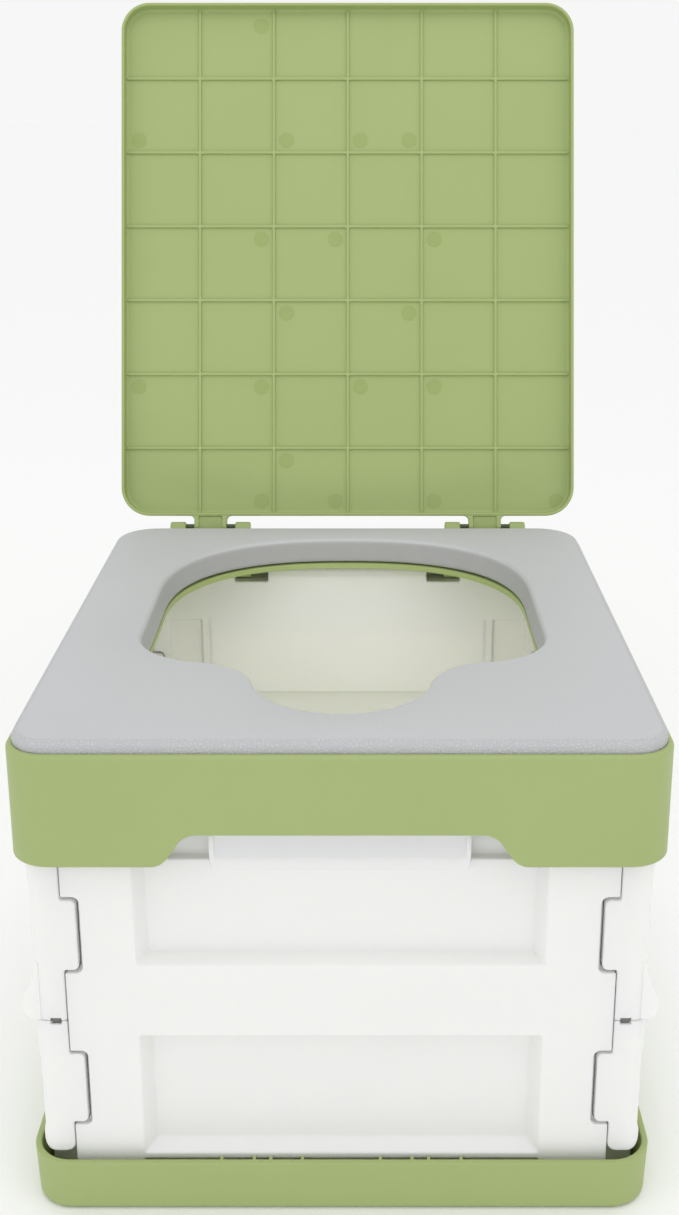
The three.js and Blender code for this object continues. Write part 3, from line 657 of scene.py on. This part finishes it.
rim_curve = 2.3 * mm
foot_curve = 0.8 * mm
frame_profile = arc(foot_curve, skirt_foot + foot_curve, foot_curve, 270, 180, 4)
frame_profile += arc(rim_curve, rim_top - rim_curve, rim_curve, 180, 90, 6)
top_frame = new_piece("top_frame_moulding", ring_skin(moulded_rings(frame_profile, frame_plan)))
frame_cuts = [
    prism(frame_plan(frame_wall), skirt_foot - mm, deck_under),
    prism(frame_plan(frame_wall), deck_top, rim_top + mm),
    prism(seat_hole(-1.8 * mm), deck_under - mm, deck_top + mm),
    prism(skirt_cutout(), -half_depth - mm, frame_wall + mm - half_depth, "Y"),
]
edges_eased(carved(top_frame, frame_cuts), 0.4 * mm)
lid_axis = Vector((0, 189.5 * mm, 259 * mm))
ear_r = 3.2 * mm
lid_bore_r = 2.1 * mm
arm_x, arm_half = 97 * mm, 11.35 * mm
ear_half = 5.5 * mm
ear_x = arm_half + 6 * mm + ear_half
wall_y = half_depth - mm
hanger_r = 3.6 * mm
ears, bores = [], []
for side in (-1, 1):
    for way in (-1, 1):
        x = side * arm_x + way * ear_x
        ear_plan = [(wall_y, rim_top - 22 * mm), (lid_axis.y + ear_r, rim_top - 8 * mm)]
        ear_plan += arc(lid_axis.y, lid_axis.z, ear_r, 0, 140, 10) + [(wall_y, rim_top - 2 * mm)]
        ears.append(edges_eased(prism(ear_plan, x - ear_half, x + ear_half, "X"), 1.3 * mm))
    x0, x1 = sorted((side * 67 * mm, side * 77 * mm))
    for y in (-panel_pin_y, panel_pin_y):
        hanger = [(y + hanger_r, deck_under + mm), (y - hanger_r, deck_under + mm)]
        hanger += arc(y, panel_axis.z, hanger_r, 180, 360, 12)
        ears.append(prism(hanger, x0, x1, "X"))
        bores.append(round_bar(y, panel_axis.z, pin_bore_r, x0 - mm, x1 + mm, "X"))
    bores.append(round_bar(lid_axis.y, lid_axis.z, lid_bore_r, side * arm_x - 28 * mm, side * arm_x + 28 * mm,
                           "X"))
carved(top_frame, bores, ears)
settle(top_frame, "frame", "green_plastic", green_polypropylene, "top_frame")

# ------------------------------------------------------------------ seat pad
# One moulding of soft closed-cell foam with its own leather-grained skin. The edges are rounded, the top is
# gently crowned, and the wall of the hole leans in slightly towards the deck.
pad_half = pad_high.x
pad_front, pad_back = pad_low.y, pad_high.y
pad_base, pad_top = pad_low.z, pad_high.z


def pad_plan(inset, swell=0):
    """The pad's outline. The swell is how far it bulges at the sides; the front and rear bulge less."""
    front_r = max(17.4 * mm - inset + swell, 2 * mm)
    rear_r = max(25 * mm - inset + swell, 2 * mm)
    less = 0.25 * swell
    return rounded_plan(pad_half - inset + swell, pad_front + inset - less, pad_back - inset + less,
                        front_r, rear_r, 16)


def reach(outline, centre, angle):
    """Where the ray from centre at angle leaves a star-shaped outline."""
    ray = Vector((math.cos(angle), math.sin(angle)))
    best = None
    for a, b in zip(outline, outline[1:] + outline[:1]):
        ax, ay = a[0] - centre[0], a[1] - centre[1]
        bx, by = b[0] - centre[0], b[1] - centre[1]
        side_a = ray.x * ay - ray.y * ax
        side_b = ray.x * by - ray.y * bx
        if side_a * side_b <= 0 and side_a != side_b:
            t = side_a / (side_a - side_b)
            length = (ax + (bx - ax) * t) * ray.x + (ay + (by - ay) * t) * ray.y
            if length > 0 and (best is None or length > best):
                best = length
    return best


hole_centre = (0, 20 * mm)
bearings = set()
for outline in (pad_plan(0), seat_hole(0, 10)):
    for x, y in outline:
        bearings.add(round(math.atan2(y - hole_centre[1], x - hole_centre[0]), 4))
bearings |= {round(math.radians(a), 4) for a in range(-180, 180, 2)}
ordered = sorted(bearings)
bearings = [a for a, b in zip(ordered, ordered[1:] + [ordered[0] + 7]) if b - a > 0.004]


def pad_ring(outer_inset, hole_offset, share, z, lean=0, swell=0):
    """A ring of the pad between its outer edge (share 0) and its hole (share 1). The hole's wall leans in at
    the sides by the full lean, and hardly at the rear, where the deck's lip shows below it."""
    outer_line = pad_plan(outer_inset, swell)
    hole_line = seat_hole(hole_offset, 10)
    ring = []
    for angle in bearings:
        out = reach(outer_line, hole_centre, angle)
        into = reach(hole_line, hole_centre, angle) - lean * (1 - 0.95 * max(0, math.sin(angle)) ** 1.5)
        length = out + (into - out) * share
        ring.append((hole_centre[0] + length * math.cos(angle), hole_centre[1] + length * math.sin(angle), z))
    return ring


edge_r = 4.6 * mm
hole_r = 2.4 * mm
crown = 1 * mm
swell = 1.2 * mm
crest = pad_top + 1.2 * mm
rings = [pad_ring(0.6 * mm, 0, 0, pad_base), pad_ring(0, 0, 0, pad_base + 0.6 * mm),
         pad_ring(0, 0, 0, rim_top - 0.8 * mm), pad_ring(0, 0, 0, rim_top + 0.5 * mm, 0, swell * 0.75)]
for inset, z in arc(edge_r, crest - edge_r, edge_r, 160, 90, 7):
    rings.append(pad_ring(inset, 0, 0, z, 0, swell))
outer_rings = len(rings)
top_steps = 12
for i in range(1, top_steps):
    share = i / top_steps
    bulge = crown * (math.sin(math.pi * share) ** 0.8)
    rings.append([(x, y, crest + bulge) for x, y, _ in pad_ring(edge_r, hole_r, share, crest, 0, swell)])
for offset, z in arc(hole_r, crest - hole_r, hole_r, 90, 180, 5):
    rings.append(pad_ring(0, offset, 1, z))
wall_lean = 2.2 * mm
hole_wall_from = len(rings) - 1
rings.append(pad_ring(0, 0, 1, pad_base + 5 * mm, wall_lean * 0.7))
rings.append(pad_ring(0, 0, 1, pad_base + 0.8 * mm, wall_lean))
rings.append(pad_ring(0, 0.6 * mm, 1, pad_base, wall_lean))
seat_pad = new_piece("seat_pad_foam", ring_skin(rings, capped=False), 60)
# This attribute marks the rounded outer edge. There the pebble is deeper, and its creases take the most painted
# shade.
edge_grain_and_shade = seat_pad.data.attributes.new("edge_grain_and_shade", "FLOAT", "POINT")
# This attribute marks the hole's wall, which the foam colour paints a darker grey as painted shade.
hole_wall_painted_shade = seat_pad.data.attributes.new("hole_wall_painted_shade", "FLOAT", "POINT")
for i in range(len(seat_pad.data.vertices)):
    ring = i // len(bearings)
    edge_grain_and_shade.data[i].value = 1 if ring < outer_rings - 2 else 0.2
    hole_wall_painted_shade.data[i].value = 1 if ring >= hole_wall_from else 0
smoother = seat_pad.modifiers.new("smoother", "SUBSURF")
smoother.levels = smoother.render_levels = 1
made_real(seat_pad)

# Skinned foam keeps a dull, dry surface: a leather-like pebble of about 2 mm is pressed into it, over a very
# faint unevenness of the skin. The pebble's creases are painted darker as painted shade, most on the rounded
# outer edge, and the hole's wall is painted darker as painted shade.
foam_skin = bpy.data.materials.new("grained_grey_foam_skin")
foam_skin.use_nodes = True
foam_tree = foam_skin.node_tree
foam_shader = foam_tree.nodes["Principled BSDF"]
foam_shader.inputs["IOR"].default_value = 1.47
foam_shader.inputs["Roughness"].default_value = 0.62
foam_place = add_node(foam_tree, "ShaderNodeTexCoord").outputs["Object"]
warps_per_metre, warp_reach = 260.0, 1.2 * mm
foam_warp = add_node(foam_tree, "ShaderNodeTexNoise", Vector=foam_place, Scale=warps_per_metre, Detail=2.0)
foam_shift = add_node(foam_tree, "ShaderNodeVectorMath", {"operation": "MULTIPLY_ADD"},
                      i0=foam_warp.outputs["Color"], i1=(warp_reach, warp_reach, warp_reach), i2=foam_place)
pebble = add_node(foam_tree, "ShaderNodeTexVoronoi", {"feature": "DISTANCE_TO_EDGE"},
                  Vector=foam_shift.outputs["Vector"], Scale=1 / (1.7 * mm))
crease_wide = 0.28
crease = add_node(foam_tree, "ShaderNodeMapRange", Value=pebble.outputs["Distance"], From_Min=0.0,
                  From_Max=crease_wide)
on_edge = add_node(foam_tree, "ShaderNodeAttribute", {"attribute_name": "edge_grain_and_shade"})
foam_clouds_per_metre = 12.0
foam_cloud = add_node(foam_tree, "ShaderNodeTexNoise", Vector=foam_place, Scale=foam_clouds_per_metre,
                      Detail=3.0)
foam_tone = add_node(foam_tree, "ShaderNodeMix", {"data_type": "RGBA"}, i0=foam_cloud.outputs[0],
                     i6=linear_colour(0xC7C8CA), i7=linear_colour(0xC1C2C5))
# The creases' colour is painted shade: a darker grey, 0xBABBBE, mixed in fully on the outer edge and a fifth as
# much elsewhere.
foam_crease_shade = add_node(foam_tree, "ShaderNodeMix", {"data_type": "RGBA"}, i0=on_edge.outputs["Fac"],
                       i6=foam_tone.outputs[2], i7=linear_colour(0xBABBBE))
# Where the pebble's creases lie, the colour takes that painted shade.
foam_with_crease_shade = add_node(foam_tree, "ShaderNodeMix", {"data_type": "RGBA"}, i0=crease.outputs["Result"],
                       i6=foam_crease_shade.outputs[2], i7=foam_tone.outputs[2])
# Painted shade: the hole's wall is painted a darker grey, 0xABACAE, all over.
wall_shade_mask = add_node(foam_tree, "ShaderNodeAttribute", {"attribute_name": "hole_wall_painted_shade"})
foam_with_wall_shade = add_node(foam_tree, "ShaderNodeMix", {"data_type": "RGBA"}, i0=wall_shade_mask.outputs["Fac"],
                     i6=foam_with_crease_shade.outputs[2], i7=linear_colour(0xABACAE))
foam_tree.links.new(foam_with_wall_shade.outputs[2], foam_shader.inputs["Base Color"])
grain_height = add_node(foam_tree, "ShaderNodeMath", {"operation": "MULTIPLY"}, i0=crease.outputs["Result"],
                        i1=on_edge.outputs["Fac"])
foam_bump = add_node(foam_tree, "ShaderNodeBump", Height=grain_height.outputs[0], Distance=0.3 * mm,
                     Strength=0.6)
foam_tree.links.new(foam_bump.outputs["Normal"], foam_shader.inputs["Normal"])
settle(seat_pad, "frame", "foam", foam_skin, "seat_pad")

# ------------------------------------------------------------------ lid
# One green polypropylene moulding, drawn closed and then swung open: a panel with a turned-down rim, a grid
# of thin ribs on its underside and two channel-shaped hinge arms.
lid_lean = math.radians(90 + 16.7)
lid_bottom = rim_top + 0.5 * mm
lid_top = lid_bottom + 11 * mm
lid_back = half_depth + mm
lid_ceiling = lid_top - 2.5 * mm
lid_rim = 2.2 * mm


def lid_plan(inset):
    """The lid's outline, moved inwards by inset."""
    r = max(20 * mm - inset, 2 * mm)
    return rounded_plan(half_width - inset, inset - half_depth, lid_back - inset, r, r, 14)


top_r = 3.5 * mm
inner_r = 2.2 * mm
lip_r = 0.9 * mm
lid_profile = arc(top_r, lid_top - top_r, top_r, 90, 180, 6)
lid_profile += arc(lip_r, lid_bottom + lip_r, lip_r, 180, 270, 4)
lid_profile += arc(lid_rim - lip_r, lid_bottom + lip_r, lip_r, 270, 360, 4)
lid_profile += arc(lid_rim + inner_r, lid_ceiling - inner_r, inner_r, 180, 90, 5)
lid = new_piece("lid_moulding", ring_skin(moulded_rings(lid_profile, lid_plan)))


def crossed_bars(tree, places, given):
    """Two crossed rows of bars, joined into one solid."""
    union = add_node(tree, "GeometryNodeMeshBoolean", {"operation": "UNION", "solver": "EXACT"})
    for way in ("across", "along"):
        line = add_node(tree, "GeometryNodeMeshLine", {"mode": "OFFSET"}, Count=given[f"bars_{way}"],
                        Start_Location=given[f"first_{way}"], Offset=given[f"step_{way}"])
        bar = add_node(tree, "GeometryNodeMeshCube", Size=given[f"size_{way}"])
        row = add_node(tree, "GeometryNodeInstanceOnPoints", Points=line.outputs["Mesh"],
                       Instance=bar.outputs["Mesh"])
        solid = add_node(tree, "GeometryNodeRealizeInstances", Geometry=row.outputs["Instances"])
        tree.links.new(solid.outputs["Geometry"], union.inputs["Mesh 2"])
    return union.outputs["Mesh"]


pitch = 52.6 * mm
rib_thick = 1.9 * mm
rib_depth = 2.3 * mm
first_row = lid_back - 48.4 * mm
rib_z = lid_ceiling - 1.5 * mm + rib_depth / 2
grid_width = 2 * (half_width - lid_rim) + mm
grid_length = half_depth + lid_back - 2 * lid_rim + mm
grid = grown("lid_ribs", [], crossed_bars, green_polypropylene,
             bars_across=6, first_across=(0, first_row, rib_z), step_across=(0, -pitch, 0),
             size_across=(grid_width, rib_thick, rib_depth),
             bars_along=5, first_along=(-2 * pitch, (lid_back - half_depth) / 2, rib_z),
             step_along=(pitch, 0, 0), size_along=(rib_thick, grid_length, rib_depth))
edges_eased(grid, 0.4 * mm, 2)


def pin_discs(tree, places, given):
    """A thin disc at each place, as the mould's ejector pins leave."""
    disc = add_node(tree, "GeometryNodeMeshCylinder", Vertices=40, Radius=given["disc_radius"],
                    Depth=given["disc_height"])
    return add_node(tree, "GeometryNodeInstanceOnPoints", Points=places,
                    Instance=disc.outputs["Mesh"]).outputs["Instances"]


# Ejector-pin marks: faint discs, a little deeper in tone because the pin's end is smoother than the mould.
# Each stands beside a rib, so its place is a rib's number and how many offsets it lies from that rib.
beside = 9 * mm
edge_row = 4.2
mark_rows = [(0, -edge_row, [(-1, -1), (0, -1), (1, 1), (3, -1)]), (0, -1, [(-1, 1)]),
             (1, -1, [(-3, 1), (-1, -1), (0, 1), (1, 1)]), (2, -1, [(-1, 1), (1, -1)]),
             (3, -1, [(-1, -1), (0, -1), (1, 1)]), (4, 1, [(-3, 1), (-1, 1), (0, 1), (1, -1)]),
             (5, edge_row, [(-1, -1)])]
mark_places = [(column * pitch + aside * beside, first_row - row * pitch - along * beside, lid_ceiling)
               for row, along, columns in mark_rows for column, aside in columns]
pin_mark_green = moulded_polypropylene("smooth_green_polypropylene", 0x9AAB67, 0x96A763, 0.4, 0.7, 0.01)
pin_marks = grown("lid_pin_marks", mark_places, pin_discs, pin_mark_green, disc_radius=5.4 * mm,
                  disc_height=0.3 * mm)

arms = []
flare = 3.4 * mm
flange = 3.2 * mm
root = lid_back - 2 * mm
arm_r = 4 * mm
clear = 9 * mm
y, z = lid_axis.y, lid_axis.z
for side in (-1, 1):
    x = side * arm_x
    profile = [(root, lid_bottom + 0.6 * mm), (root, lid_top - mm), (y, z + arm_r)]
    profile += arc(y, z, arm_r, 90, -90, 12)[1:]
    arm = prism(profile, x - arm_half - 2 * flare, x + arm_half + 2 * flare, "X")
    half_plan = [(arm_half, y + 2 * arm_r)] + arc(arm_half + flare, lid_back + flare, flare, 180, 270, 7)
    half_plan += [(arm_half + flare, root - mm)]
    plan = [(x + px, py) for px, py in half_plan] + [(x - px, py) for px, py in reversed(half_plan)]
    waist = prism(plan, lid_bottom - clear, lid_top + clear)
    inside = arm_half - flange
    channel = block(x - inside, x + inside, lid_back + 0.3 * mm, y + 2 * arm_r, lid_bottom - clear,
                    z - 2.1 * mm)
    bore = round_bar(y, z, pin_bore_r, x - 13 * mm, x + 13 * mm, "X")
    arms.append(edges_eased(carved(arm, [channel, bore], bounds=[waist]), 0.6 * mm))

lid = joined("lid_moulding", lid, grid, *arms)
open_lid = Matrix.Translation(lid_axis) @ Matrix.Rotation(-lid_lean, 4, "X") @ Matrix.Translation(-lid_axis)
lid.data.transform(open_lid)
settle(lid, "lid", "green_plastic", green_polypropylene, "lid")
pin_marks.data.transform(open_lid)
settle(pin_marks, "lid", "green_plastic", pin_mark_green)

# ------------------------------------------------------------------ floor, light and camera
# A plain pale floor, a soft white surround and two large soft boxes, as in a small product studio. A weak warm
# card inside the walls stands in for the daylight that reaches in through them.
floor = block(-40, 40, -40, 40, -0.02, -0.0005)
floor.name = "studio_floor"
floor_paint = bpy.data.materials.new("pale_floor")
floor_paint.use_nodes = True
floor_shader = floor_paint.node_tree.nodes["Principled BSDF"]
floor_shader.inputs["Base Color"].default_value = linear_colour(0xFFFFFF)
floor_shader.inputs["Roughness"].default_value = 0.9
floor.data.materials.append(floor_paint)

surround = bpy.data.worlds.new("studio_surround")
surround.use_nodes = True
surround.node_tree.nodes["Background"].inputs["Color"].default_value = (1, 1, 1, 1)
surround.node_tree.nodes["Background"].inputs["Strength"].default_value = 0.93
bpy.context.scene.world = surround
bpy.context.scene.view_settings.view_transform = "Standard"


def soft_box(name, place, target, size, watts):
    """A rectangular lamp at place, turned to face the target."""
    lamp = bpy.data.lights.new(name, "AREA")
    lamp.shape = "RECTANGLE"
    lamp.size, lamp.size_y = size
    lamp.energy = watts
    box_light = bpy.data.objects.new(name, lamp)
    bpy.context.scene.collection.objects.link(box_light)
    box_light.location = place
    box_light.rotation_euler = (Vector(target) - Vector(place)).to_track_quat("-Z", "Y").to_euler()
    return box_light


soft_box("overhead_soft_box", (0.1, -0.5, 1.6), (0, 0.05, 0.1), (0.9, 0.9), 2.5)
soft_box("front_soft_box", (-0.5, -1.8, 0.9), (0, 0, 0.2), (1.2, 1.2), 1.5)
inside_fill = soft_box("inside_fill_card", (0, -0.13, 0.13), (0, 0.16, 0.17), (0.16, 0.1), 0.22)
inside_fill.data.color = (1.0, 0.965, 0.9)

camera_tilt = 16.7
camera_data = bpy.data.cameras.new("product_camera")
camera_data.sensor_fit = "VERTICAL"
camera_data.sensor_height = 36
camera_data.lens = 43.14
camera_data.shift_x = -0.0202
camera_data.shift_y = -0.0597
camera_data.clip_start = 0.01
camera = bpy.data.objects.new("product_camera", camera_data)
bpy.context.scene.collection.objects.link(camera)
camera.location = (0.0116, -0.8006, 0.5497)
camera.rotation_euler = (math.radians(90 - camera_tilt), 0, 0)
bpy.context.scene.camera = camera
